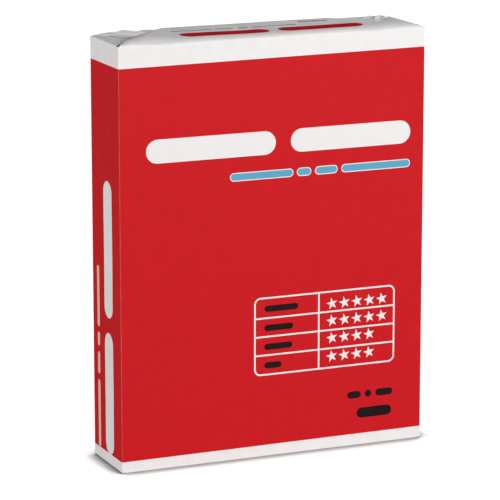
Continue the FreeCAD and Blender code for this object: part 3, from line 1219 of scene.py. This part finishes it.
class Finishes:
    """Every material of the pack, built round the shared groups.

    Attributes:
        RED: The wrapper's red field.
        WHITE: The bare paper of its end bands.
        RED_ABOVE: How far the red's roughness goes above its middle.
        WORN: The colour of red that is worn.
        WEAR: Width and amount of the wear.
        BUMP_DEPTH: Depth of the grain in millimetres.
        UPPER_BAND: Height of the upper band at the middle of the front, in millimetres.
        UPPER_SKEW: How much narrower it is at the right edge.
        LOWER_BAND: Height of the lower band at the middle of the front.
        LOWER_SKEW: How much wider it is at the right edge.
        RAGGED_SCALE: Scale of the noise in the bands' edges.
        RAGGED_REACH: How far that noise moves the edges.
        BAND_BLUR: How far to each side the edges are soft.
    """

    RED = PaperFinish("red_ink", srgb(207, 30, 36), 0.03, 0.48, 0.1)
    WHITE = PaperFinish("white_paper", srgb(244, 242, 241), 0.02, 0.58, 0.16)
    RED_ABOVE = 0.06
    WORN = srgb(226, 150, 148)
    WEAR = {"Width": 0.75, "Amount": 0.42}
    BUMP_DEPTH = 0.05
    UPPER_BAND = 13.2
    UPPER_SKEW = 0.8
    LOWER_BAND = 7.1
    LOWER_SKEW = 0.25
    RAGGED_SCALE = 900.0
    RAGGED_REACH = 0.16
    BAND_BLUR = 0.06

    def __init__(self, form: PackForm) -> None:
        """Builds the shared groups.

        Args:
            form: The pack's main sizes.
        """
        self.form = form
        self.grain = paper_grain_group()
        self.wear = edge_wear_group(form)

    def _start(
        self, name: str, gloss: float
    ) -> tuple[bpy.types.Material, Nodes, bpy.types.Node, bpy.types.Node]:
        """Makes a material with a shader and the grain group.

        Args:
            name: The material's name.
            gloss: The shader's specular level.

        Returns:
            The material, its nodes, the shader and the grain.
        """
        material = bpy.data.materials.new(name)
        material.use_nodes = True
        material.node_tree.nodes.clear()
        nodes = Nodes(material.node_tree)
        shader = nodes.add("ShaderNodeBsdfPrincipled", {"Specular IOR Level": gloss})
        nodes.add("ShaderNodeOutputMaterial", {"Surface": shader.outputs[0]})
        grain = nodes.add("ShaderNodeGroup", node_tree=self.grain)
        return material, nodes, shader, grain

    def _bump(
        self, nodes: Nodes, height: bpy.types.NodeSocket, strength: float
    ) -> bpy.types.NodeSocket:
        """Adds the grain's bump and returns its normal."""
        inputs = {"Strength": strength, "Distance": self.BUMP_DEPTH * MM, "Height": height}
        return nodes.add("ShaderNodeBump", inputs).outputs[0]

    def ink(self, finish: PaperFinish) -> bpy.types.Material:
        """A material for a slab of printed ink.

        Args:
            finish: Its colour, roughness and grain.

        Returns:
            The material.
        """
        material, nodes, shader, grain = self._start(finish.name, finish.gloss)
        colour = finish.toned(nodes, grain.outputs["Tone"])
        rough = finish.rough(nodes, grain.outputs["Gloss"])
        normal = self._bump(nodes, grain.outputs["Height"], finish.bump)
        for name, socket in (("Base Color", colour), ("Roughness", rough), ("Normal", normal)):
            nodes.tree.links.new(socket, shader.inputs[name])
        return material

    def wrapper(self) -> bpy.types.Material:
        """The wrapper's material: a red field between two white bands, worn at the long edges.

        The upper band is a little narrower at the right than at the left, because the print
        lies slightly askew on the sheet, and the lower band a little wider.

        Returns:
            The material.
        """
        form = self.form
        material, nodes, shader, grain = self._start("printed_wrapper", self.RED.gloss)
        place = nodes.add("ShaderNodeTexCoord").outputs["Object"]
        axes = nodes.add("ShaderNodeSeparateXYZ", {"Vector": place}).outputs
        z = nodes.math("DIVIDE", axes["Z"], MM)
        across = nodes.math("DIVIDE", axes["X"], form.half_width * MM)
        noise = {"Vector": place, "Scale": self.RAGGED_SCALE, "Detail": 2.0}
        ragged = nodes.add("ShaderNodeTexNoise", noise).outputs[0]
        ragged = nodes.math("MULTIPLY", nodes.math("SUBTRACT", ragged, 0.5), self.RAGGED_REACH)
        skew = nodes.math("MULTIPLY", across, self.UPPER_SKEW)
        upper = nodes.math("ADD", skew, form.upper - self.UPPER_BAND)
        skew = nodes.math("MULTIPLY", across, self.LOWER_SKEW)
        lower = nodes.math("ADD", skew, form.lower + self.LOWER_BAND)
        over = nodes.math("ADD", nodes.math("SUBTRACT", z, upper), ragged)
        under = nodes.math("ADD", nodes.math("SUBTRACT", lower, z), ragged)
        nearer = nodes.math("MAXIMUM", over, under)
        band = nodes.ramp(nearer, -self.BAND_BLUR, self.BAND_BLUR, 0.0, 1.0)
        wear = nodes.add("ShaderNodeGroup", self.WEAR, node_tree=self.wear)
        red = self.RED.toned(nodes, grain.outputs["Tone"])
        worn = nodes.mix(wear.outputs["Wear"], red, self.WORN)
        white = self.WHITE.toned(nodes, grain.outputs["Tone"])
        colour = nodes.mix(band, worn, white)
        inked = self.RED.rough(nodes, grain.outputs["Gloss"], self.RED_ABOVE)
        bare = nodes.math("ADD", inked, self.WHITE.roughness - self.RED.roughness)
        mixed = nodes.add("ShaderNodeMix", {0: band, 2: inked, 3: bare}, data_type="FLOAT")
        rough = mixed.outputs[0]
        normal = self._bump(nodes, grain.outputs["Height"], self.RED.bump)
        for name, socket in (("Base Color", colour), ("Roughness", rough), ("Normal", normal)):
            nodes.tree.links.new(socket, shader.inputs[name])
        return material


@dataclass(frozen=True)
class Mark:
    """One printed shape, as two outlines with the ink between them.

    Attributes:
        outline: Points round the shape in the surface's two coordinates.
        core: As many points, on the middle line of a filled shape or round the hole of a ring.
        ring: True if the core goes round a hole.
    """

    outline: np.ndarray
    core: np.ndarray
    ring: bool = False


def bar_mark(
    left: float, right: float, low: float, high: float, radius: float, per_side: int = 40
) -> Mark:
    """A filled bar with round corners, whose core is its middle line.

    Args:
        left: Lowest first coordinate.
        right: Highest first coordinate.
        low: Lowest second coordinate.
        high: Highest second coordinate.
        radius: Corner radius.
        per_side: Steps along each straight.

    Returns:
        The mark.
    """
    outline = rounded_box(left, right, low, high, radius, per_side)
    reach = min(right - left, high - low) / 2.0
    core = np.stack([
        np.clip(outline[:, 0], left + reach, right - reach),
        np.clip(outline[:, 1], low + reach, high - reach),
    ], axis=-1)
    return Mark(outline, core)


def rounded_box(
    left: float, right: float, low: float, high: float, radius: float, per_side: int
) -> np.ndarray:
    """The outline of a rectangle with round corners: four quarter circles joined by straights.

    Args:
        left: Lowest first coordinate.
        right: Highest first coordinate.
        low: Lowest second coordinate.
        high: Highest second coordinate.
        radius: Corner radius, kept just under half the shorter side.
        per_side: Steps along each straight.

    Returns:
        Points round the outline, first point not repeated.
    """
    least, arc_points = 1e-3, 7
    radius = min(radius, (right - left) / 2.0 - least, (high - low) / 2.0 - least)
    quarter = np.linspace(0.0, math.pi / 2.0, arc_points)
    centres = (
        (right - radius, high - radius), (left + radius, high - radius),
        (left + radius, low + radius), (right - radius, low + radius),
    )
    arcs = []
    for number, (x, y) in enumerate(centres):
        turn = quarter + number * math.pi / 2
        arcs.append(np.stack([x + radius * np.cos(turn), y + radius * np.sin(turn)], axis=-1))
    share = np.linspace(0.0, 1.0, per_side + 1)[1:-1, None]
    runs = []
    for arc, following in zip(arcs, arcs[1:] + arcs[:1]):
        runs += [arc, arc[-1] * (1.0 - share) + following[0] * share]
    return np.concatenate(runs)


def star_mark(x: float, z: float, radius: float, tilt_degrees: float) -> Mark:
    """A five-pointed star: points and notches on two circles by turns, round its middle.

    Args:
        x: First coordinate of its middle.
        z: Second coordinate of its middle.
        radius: The points' distance from it. The notches lie at two fifths of that.
        tilt_degrees: How far the star is turned.

    Returns:
        The mark.
    """
    inner = radius * 0.4
    angle = np.radians(90.0 + tilt_degrees) + np.arange(10) * math.pi / 5.0
    reach = np.where(np.arange(10) % 2 == 0, radius, inner)
    outline = np.stack([x + reach * np.cos(angle), z + reach * np.sin(angle)], axis=-1)
    return Mark(outline, np.broadcast_to(np.array([x, z]), outline.shape))


class PrintLayer:
    """A group of printed marks of one ink, as thin closed slabs that follow a surface.

    Attributes:
        LIFT: How far the ink stands out where no other height is given, in millimetres.
        SINK: How far a slab reaches into the paper.
        RINGS: Steps from a slab's core to its rim.
        SHARP_DEGREES: Edges that turn by more than this stay sharp in shading.
    """

    LIFT = 0.035
    SINK = 0.06
    RINGS = 6
    SHARP_DEGREES = 60.0

    def __init__(
        self, name: str, surface: Surface, marks: Sequence[Mark], lift: float = LIFT
    ) -> None:
        """Keeps what the layer is made from.

        Args:
            name: The name of the finished object.
            surface: Gives the points of the surface at two coordinates, facing outwards where
                the first cross the second does.
            marks: The printed shapes.
            lift: How far the ink's outer side stands out.
        """
        self.name = name
        self.surface = surface
        self.marks = marks
        self.lift = lift

    def _raised(self, flat: np.ndarray, rise: np.ndarray) -> np.ndarray:
        """Carries flat points onto the surface and moves them out along its normal.

        Args:
            flat: Points in the surface's two coordinates.
            rise: Outward distance of each point.

        Returns:
            The points in space.
        """
        u, v = flat[..., 0], flat[..., 1]
        by_u = self.surface(u + PROBE, v) - self.surface(u - PROBE, v)
        by_v = self.surface(u, v + PROBE) - self.surface(u, v - PROBE)
        normal = np.cross(by_u, by_v)
        normal /= np.linalg.norm(normal, axis=-1, keepdims=True)
        return self.surface(u, v) + rise[..., None] * normal

    def _slab(self, mark: Mark) -> Patch:
        """A mark as one closed grid: out over its top, down its rim and back underneath.

        A ring's grid also comes up again round its hole. Slabs have no place on an atlas.

        Args:
            mark: The printed shape.

        Returns:
            The patch.
        """
        rim = np.concatenate([mark.outline, mark.outline[:1]])
        inside = np.concatenate([mark.core, mark.core[:1]])
        share = np.linspace(0.0, 1.0, self.RINGS + 1)
        share = np.concatenate([share, share[::-1]])
        high = np.concatenate([np.ones(self.RINGS + 1), np.zeros(self.RINGS + 1)])
        if mark.ring:
            share, high = np.append(share, 0.0), np.append(high, 1.0)
        flat = inside[None] * (1.0 - share[:, None, None]) + rim[None] * share[:, None, None]
        rise = np.broadcast_to((high * (self.lift + self.SINK) - self.SINK)[:, None], flat.shape[:2])
        atlas = np.zeros(flat.shape)
        return Patch(self._raised(flat, rise), atlas, True)

    def build(self, material: bpy.types.Material) -> bpy.types.Object:
        """Makes the layer's object, without the empty atlas.

        Args:
            material: The ink.

        Returns:
            The object.
        """
        skin = Skin(self.name, 1.0, self.SHARP_DEGREES)
        skin.add(*[self._slab(mark) for mark in self.marks])
        made = skin.build()
        made.data.uv_layers.remove(made.data.uv_layers[0])
        made.data.materials.append(material)
        return made


class FrontPrint:
    """The print of the front panel, placed from its left edge and its upper fold line.

    Every bar and box is given as its left, right, top and bottom, in millimetres.

    Attributes:
        TITLE: The two broad bars.
        SUBTITLE: Left and right of the slim bars.
        SUBTITLE_TOP: Their top.
        SUBTITLE_LOW: Their bottom.
        TABLE: The middle line of the table's frame.
        TABLE_RADIUS: Its corner radius.
        TABLE_STEPS: Steps along each straight of the frame.
        LINE: Width of the frame and the lines.
        LINE_RADIUS: Corner radius of the lines' ends.
        DIVIDER: Place of the upright line.
        ROWS: Places of the lines between the rows.
        STAR_ROWS: Place and number of stars of each row.
        STAR_FIRST: Place of a row's first star.
        STAR_PITCH: Distance from star to star.
        STAR_RADIUS: Distance of a star's points from its middle.
        STAR_TILT: How far the stars are turned, in degrees.
        LABEL_LEFT: Left of the dark bars in the table.
        LABELS: Their right and top.
        LABEL_HEIGHT: Their height.
        OUTLINE: How far the pale outline shows round the slim bars.
        SIZE_LINES: The dark bars under the table.
    """

    TITLE = ((18.4, 109.0, 61.0, 76.6), (119.6, 206.4, 60.8, 76.4))
    SUBTITLE = ((77.2, 121.0), (124.6, 133.8), (137.6, 152.8), (156.6, 205.8))
    SUBTITLE_TOP = 87.6
    SUBTITLE_LOW = 92.0
    TABLE = (94.2, 195.6, 172.4, 224.4)
    TABLE_RADIUS = 4.0
    TABLE_STEPS = 12
    LINE = 1.15
    LINE_RADIUS = 0.2
    DIVIDER = 140.4
    ROWS = (186.0, 198.6, 211.2)
    STAR_ROWS = ((180.7, 5), (192.3, 5), (204.1, 4), (216.7, 4))
    STAR_FIRST = 150.0
    STAR_PITCH = 9.12
    STAR_RADIUS = 4.2
    STAR_TILT = 9.0
    LABEL_LEFT = 101.0
    LABELS = ((125.4, 177.6), (121.8, 190.6), (121.2, 203.4), (113.4, 216.0))
    LABEL_HEIGHT = 4.2
    OUTLINE = 0.62
    SIZE_LINES = (
        (161.6, 171.6, 242.8, 247.6), (174.6, 179.4, 242.8, 247.6), (182.4, 195.0, 242.8, 247.6),
        (168.6, 194.4, 254.6, 261.6),
    )

    def __init__(self, wrapper: Wrapper) -> None:
        """Keeps the wrapper whose front panel is printed."""
        self.wrapper = wrapper
        self.left = -wrapper.form.half_width
        self.top = wrapper.form.upper

    def _box(
        self, left: float, right: float, top: float, bottom: float
    ) -> tuple[float, float, float, float]:
        """Turns distances from the panel's left and top into x and z."""
        return self.left + left, self.left + right, self.top - bottom, self.top - top

    def _bar(
        self, left: float, right: float, top: float, bottom: float, grow: float = 0.0
    ) -> Mark:
        """A bar with round ends, grown on every side, in distances from the left and top."""
        x0, x1, z0, z1 = self._box(left - grow, right + grow, top - grow, bottom + grow)
        return bar_mark(x0, x1, z0, z1, (z1 - z0) / 2.0)

    def title(self) -> list[Mark]:
        """Two broad bars."""
        return [self._bar(*bar) for bar in self.TITLE]

    def subtitle(self, grow: float) -> list[Mark]:
        """Four slim bars, grown for the pale outline behind them."""
        return [
            self._bar(left, right, self.SUBTITLE_TOP, self.SUBTITLE_LOW, grow)
            for left, right in self.SUBTITLE
        ]

    def table(self) -> list[Mark]:
        """The rounded frame of the rating table with its lines.

        Returns:
            The frame, the lines between the rows, and the upright line.
        """
        half = self.LINE / 2.0
        left, right, low, high = self._box(*self.TABLE)
        rims = [
            rounded_box(
                left - out, right + out, low - out, high + out,
                self.TABLE_RADIUS + out, self.TABLE_STEPS,
            )
            for out in (half, -half)
        ]
        found = [Mark(*rims, True)]
        for row in self.ROWS:
            z = self.top - row
            found.append(bar_mark(left, right, z - half, z + half, self.LINE_RADIUS))
        x = self.left + self.DIVIDER
        found.append(bar_mark(x - half, x + half, low, high, self.LINE_RADIUS))
        return found

    def stars(self) -> list[Mark]:
        """Rows of stars."""
        return [
            star_mark(
                self.left + self.STAR_FIRST + i * self.STAR_PITCH, self.top - row,
                self.STAR_RADIUS, self.STAR_TILT,
            )
            for row, count in self.STAR_ROWS
            for i in range(count)
        ]

    def labels(self) -> list[Mark]:
        """A dark bar in each row of the table."""
        return [
            self._bar(self.LABEL_LEFT, right, top, top + self.LABEL_HEIGHT)
            for right, top in self.LABELS
        ]

    def size_lines(self) -> list[Mark]:
        """Three short dark bars in a line, and a broader one under them."""
        return [self._bar(*bar) for bar in self.SIZE_LINES]

    def layers(self) -> list[tuple[PrintLayer, Ink]]:
        """Every layer of the panel with its ink.

        Returns:
            The layers. The subtitle's bars stand out from their outline.
        """
        on = self.wrapper.front_surface
        outline = self.subtitle(self.OUTLINE)
        return [
            (PrintLayer("title_bars", on, self.title()), Ink.WHITE),
            (PrintLayer("subtitle_outline", on, outline, lift=0.03), Ink.WHITE),
            (PrintLayer("subtitle_bars", on, self.subtitle(0.0), lift=0.06), Ink.BLUE),
            (PrintLayer("rating_table", on, self.table(), lift=0.04), Ink.WHITE),
            (PrintLayer("rating_stars", on, self.stars()), Ink.WHITE),
            (PrintLayer("table_label_bars", on, self.labels()), Ink.BLACK),
            (PrintLayer("size_bars", on, self.size_lines()), Ink.BLACK),
        ]


class SpinePrint:
    """The print of the left side panel: bars that run down it.

    A bar is given as its start and stop, down from the upper fold line, and its two sides,
    forward from the back, in millimetres.

    Attributes:
        TITLE: The two broad bars.
        SUBTITLE: Start and stop of the slim bars.
        SUBTITLE_BACK: Their side that is nearer to the back.
        SUBTITLE_FRONT: Their other side.
    """

    TITLE = ((90.0, 181.0, 21.6, 36.4), (191.0, 273.0, 21.6, 36.4))
    SUBTITLE = ((149.4, 190.6), (194.2, 203.6), (207.6, 222.6), (226.6, 272.8))
    SUBTITLE_BACK = 8.2
    SUBTITLE_FRONT = 12.2

    def __init__(self, wrapper: Wrapper) -> None:
        """Keeps the wrapper whose left side is printed."""
        self.wrapper = wrapper

    def surface(self, down: np.ndarray, forward: np.ndarray) -> np.ndarray:
        """Points of the side panel, down from the upper fold line and forward from the back."""
        form = self.wrapper.form
        return self.wrapper.left_surface(form.back - forward, form.upper - down)

    def _bar(self, start: float, stop: float, back: float, front: float) -> Mark:
        """A bar with round ends."""
        return bar_mark(start, stop, back, front, (front - back) / 2.0)

    def layers(self) -> list[tuple[PrintLayer, Ink]]:
        """Every layer of the panel with its ink.

        Returns:
            The layers.
        """
        title = [self._bar(*bar) for bar in self.TITLE]
        small = [self._bar(*bar, self.SUBTITLE_BACK, self.SUBTITLE_FRONT) for bar in self.SUBTITLE]
        return [
            (PrintLayer("spine_title_bars", self.surface, title), Ink.WHITE),
            (PrintLayer("spine_subtitle_bars", self.surface, small), Ink.CREAM),
        ]


class EndPrint:
    """The print of the upper front flap.

    A bar is given as its start and stop, leftward from the right edge, and its two sides,
    inward from the fold line, in millimetres.

    Attributes:
        TITLE: The two broad bars.
        SMALL: Start and stop of the slim bars.
        SMALL_NEAR: Their side that is nearer to the fold line.
        SMALL_FAR: Their other side.
        BLACK: Start and stop of the dark bar.
        BLACK_NEAR: Its side that is nearer to the fold line.
        BLACK_FAR: Its other side.
    """

    TITLE = ((40.0, 100.0, 6.2, 19.4), (107.0, 169.0, 6.2, 19.4))
    SMALL = ((80.0, 112.0), (115.0, 122.0), (125.0, 137.0), (140.0, 169.0))
    SMALL_NEAR = 27.5
    SMALL_FAR = 30.8
    BLACK = ((53.5, 75.5),)
    BLACK_NEAR = 36.2
    BLACK_FAR = 39.4

    def __init__(self, wrapper: Wrapper) -> None:
        """Keeps the wrapper whose upper flap is printed."""
        self.wrapper = wrapper

    def surface(self, leftward: np.ndarray, inward: np.ndarray) -> np.ndarray:
        """Points of the flap, leftward from the right edge and inward from the fold line."""
        x = self.wrapper.form.half_width - leftward
        return self.wrapper.flap_points(End.UPPER, Panel.FRONT, x, inward)

    def _bar(self, start: float, stop: float, near: float, far: float) -> Mark:
        """A bar with round ends."""
        return bar_mark(start, stop, near, far, (far - near) / 2.0)

    def layers(self) -> list[tuple[PrintLayer, Ink]]:
        """Every layer of the flap with its ink.

        Returns:
            The layers.
        """
        title = [self._bar(*bar) for bar in self.TITLE]
        small = [self._bar(*bar, self.SMALL_NEAR, self.SMALL_FAR) for bar in self.SMALL]
        black = [self._bar(*bar, self.BLACK_NEAR, self.BLACK_FAR) for bar in self.BLACK]
        return [
            (PrintLayer("end_title_bars", self.surface, title), Ink.DARK_RED),
            (PrintLayer("end_small_bars", self.surface, small), Ink.SLATE),
            (PrintLayer("end_black_bar", self.surface, black), Ink.BLACK),
        ]


def facing(azimuth: float, elevation: float) -> tuple[np.ndarray, Matrix]:
    """The way out to a camera or a lamp, and the turn that makes it look back.

    Args:
        azimuth: Its heading round the pack, in degrees, 0 being straight in front.
        elevation: How far it looks down, in degrees.

    Returns:
        The direction, of length 1, and the turn.
    """
    heading, tilt = math.radians(azimuth), math.radians(elevation)
    level = math.cos(tilt)
    back = np.array([math.sin(heading) * level, -math.cos(heading) * level, math.sin(tilt)])
    right = np.array([math.cos(heading), math.sin(heading), 0.0])
    turn = Matrix(np.stack([right, np.cross(back, right), back], axis=1).tolist()).to_4x4()
    return back, turn


@dataclass(frozen=True)
class Lamp:
    """A square soft light that looks at the pack's middle.

    Attributes:
        name: The lamp's name.
        azimuth: Its heading round the pack, in degrees.
        elevation: How far it looks down, in degrees.
        distance: Its distance in metres.
        side: Its side in metres.
        watts: Its power.
        MIDDLE: Height of the pack's middle in metres.
    """

    name: str
    azimuth: float
    elevation: float
    distance: float
    side: float
    watts: float

    MIDDLE = 0.14

    def build(self) -> None:
        """Makes the lamp and puts it in its place."""
        back, turn = facing(self.azimuth, self.elevation)
        data = bpy.data.lights.new(self.name, "AREA")
        data.shape = "SQUARE"
        data.size = self.side
        data.energy = self.watts
        made = bpy.data.objects.new(self.name, data)
        place = back * self.distance + (0.0, 0.0, self.MIDDLE)
        made.matrix_world = Matrix.Translation(place.tolist()) @ turn
        bpy.context.scene.collection.objects.link(made)


@dataclass(frozen=True)
class Studio:
    """The floor, the background, the lights and the camera.

    Attributes:
        azimuth: Heading of the camera round the pack, in degrees, 0 being straight in front.
        elevation: How far the camera looks down, in degrees.
        place: The camera's place in millimetres.
        focal_pixels: Its focal length in pixels of the frame.
        frame_pixels: Side of the frame in pixels.
        ambient: Brightness of the surroundings, as the pack sees them.
        SENSOR_WIDTH: Width of the camera's sensor, in the lens's millimetres.
        FAR_END: How far the camera sees, in metres.
        WHITE: Plain white light.
        FLOOR_REACH: Half the side of the floor, in metres.
        FLOOR_GREY: The floor's own colour.
        FLOOR_GLOW: How brightly the open floor shines to the camera.
        SHADE_REACH: How far from the pack the floor's glow is dimmed as a painted contact shadow, in
            millimetres.
        SHADE_RANGE: How open the floor is where it doesn't glow, and where it glows in full.
        SHADE_SAMPLES: Rays that find how open it is.
        LAMPS: The lights.
    """

    azimuth: float = -23.33
    elevation: float = 12.66
    place: tuple[float, float, float] = (-767.7, -1765.0, 567.1)
    focal_pixels: float = 2974.4
    frame_pixels: float = 500.0
    ambient: float = 0.075

    SENSOR_WIDTH = 36.0
    FAR_END = 50.0
    WHITE = (1.0, 1.0, 1.0, 1.0)
    FLOOR_REACH = 9.0
    FLOOR_GREY = (0.55, 0.55, 0.55, 1.0)
    FLOOR_GLOW = 0.9
    SHADE_REACH = 14.0
    SHADE_RANGE = (0.48, 1.0)
    SHADE_SAMPLES = 16
    LAMPS = (
        Lamp("key", azimuth=22.0, elevation=16.5, distance=3.2, side=0.5, watts=78.5),
        Lamp("left_fill", azimuth=-84.0, elevation=5.0, distance=2.8, side=1.6, watts=56.0),
        Lamp("back_fill", azimuth=140.0, elevation=6.0, distance=3.2, side=2.2, watts=34.0),
    )

    def camera(self) -> None:
        """Places the camera at the photograph's viewing angle."""
        _, turn = facing(self.azimuth, self.elevation)
        data = bpy.data.cameras.new("camera")
        data.sensor_width = self.SENSOR_WIDTH
        data.lens = self.focal_pixels / self.frame_pixels * data.sensor_width
        data.clip_end = self.FAR_END
        made = bpy.data.objects.new("camera", data)
        made.matrix_world = Matrix.Translation([c * MM for c in self.place]) @ turn
        bpy.context.scene.collection.objects.link(made)
        bpy.context.scene.camera = made

    def world(self) -> None:
        """A white background to the camera, and an even soft light to the pack."""
        world = bpy.data.worlds.new("studio")
        world.use_nodes = True
        world.node_tree.nodes.clear()
        nodes = Nodes(world.node_tree)
        seen = self._seen(nodes)
        plain = nodes.add("ShaderNodeBackground", {"Color": self.WHITE, "Strength": self.ambient})
        white = nodes.add("ShaderNodeBackground", {"Color": self.WHITE, "Strength": 1.0})
        mixed = nodes.add("ShaderNodeMixShader", {0: seen, 1: plain.outputs[0], 2: white.outputs[0]})
        nodes.add("ShaderNodeOutputWorld", {"Surface": mixed.outputs[0]})
        bpy.context.scene.world = world

    def _seen(self, nodes: Nodes) -> bpy.types.NodeSocket:
        """Tells the rays that show the background: from the camera, in gloss and through glass.

        Args:
            nodes: The nodes of the surroundings.

        Returns:
            1 for such a ray, else 0.
        """
        ray = nodes.add("ShaderNodeLightPath").outputs
        either = nodes.math("MAXIMUM", ray["Is Camera Ray"], ray["Is Glossy Ray"])
        return nodes.math("MAXIMUM", either, ray["Is Transmission Ray"])

    def floor(self) -> None:
        """A pale floor that keeps the pack's shadow and is white elsewhere, with a painted contact
        shadow: its glow to the camera is dimmed close round the pack.
        """
        far = self.FLOOR_REACH
        mesh = bpy.data.meshes.new("floor")
        corners = [(-far, -far, 0.0), (far, -far, 0.0), (far, far, 0.0), (-far, far, 0.0)]
        mesh.from_pydata(corners, [], [(0, 1, 2, 3)])
        material = bpy.data.materials.new("floor_paper")
        material.use_nodes = True
        material.node_tree.nodes.clear()
        nodes = Nodes(material.node_tree)
        ray = nodes.add("ShaderNodeLightPath").outputs
        # Painted contact shadow: the floor's glow to the camera is dimmed where the pack closes the
        # floor in
        reach = {"Distance": self.SHADE_REACH * MM}
        shade = nodes.add("ShaderNodeAmbientOcclusion", reach, samples=self.SHADE_SAMPLES)
        shine = nodes.ramp(shade.outputs["AO"], *self.SHADE_RANGE, 0.0, self.FLOOR_GLOW)
        shine = nodes.math("MULTIPLY", shine, ray["Is Camera Ray"])
        glow = nodes.add("ShaderNodeEmission", {"Color": self.WHITE, "Strength": shine})
        matt = nodes.add("ShaderNodeBsdfDiffuse", {"Color": self.FLOOR_GREY})
        both = nodes.add("ShaderNodeAddShader", {0: glow.outputs[0], 1: matt.outputs[0]})
        nodes.add("ShaderNodeOutputMaterial", {"Surface": both.outputs[0]})
        mesh.materials.append(material)
        made = bpy.data.objects.new("floor", mesh)
        bpy.context.scene.collection.objects.link(made)

    def build(self) -> None:
        """Sets up the whole studio."""
        bpy.context.scene.view_settings.view_transform = "Standard"
        self.camera()
        self.world()
        self.floor()
        for lamp in self.LAMPS:
            lamp.build()


def main() -> None:
    """Builds the pack, its print and the studio."""
    logging.basicConfig(level=logging.INFO, format="%(name)s: %(message)s")
    form = PackForm.from_frame()
    wrapper = Wrapper(form, lower_folds(), upper_folds())
    finishes = Finishes(form)
    skin = wrapper.build()
    skin.data.materials.append(finishes.wrapper())
    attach(skin, BODY)
    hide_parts(NODE)
    log.info("%s: %d vertices", skin.name, len(skin.data.vertices))
    inks = {ink: finishes.ink(ink.value) for ink in Ink}
    for group in (FrontPrint(wrapper), SpinePrint(wrapper), EndPrint(wrapper)):
        for layer, ink in group.layers():
            piece = layer.build(inks[ink])
            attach(piece, BODY)
            log.info("%s: %d marks", piece.name, len(layer.marks))
    Studio().build()


if __name__ == "__main__":
    main()
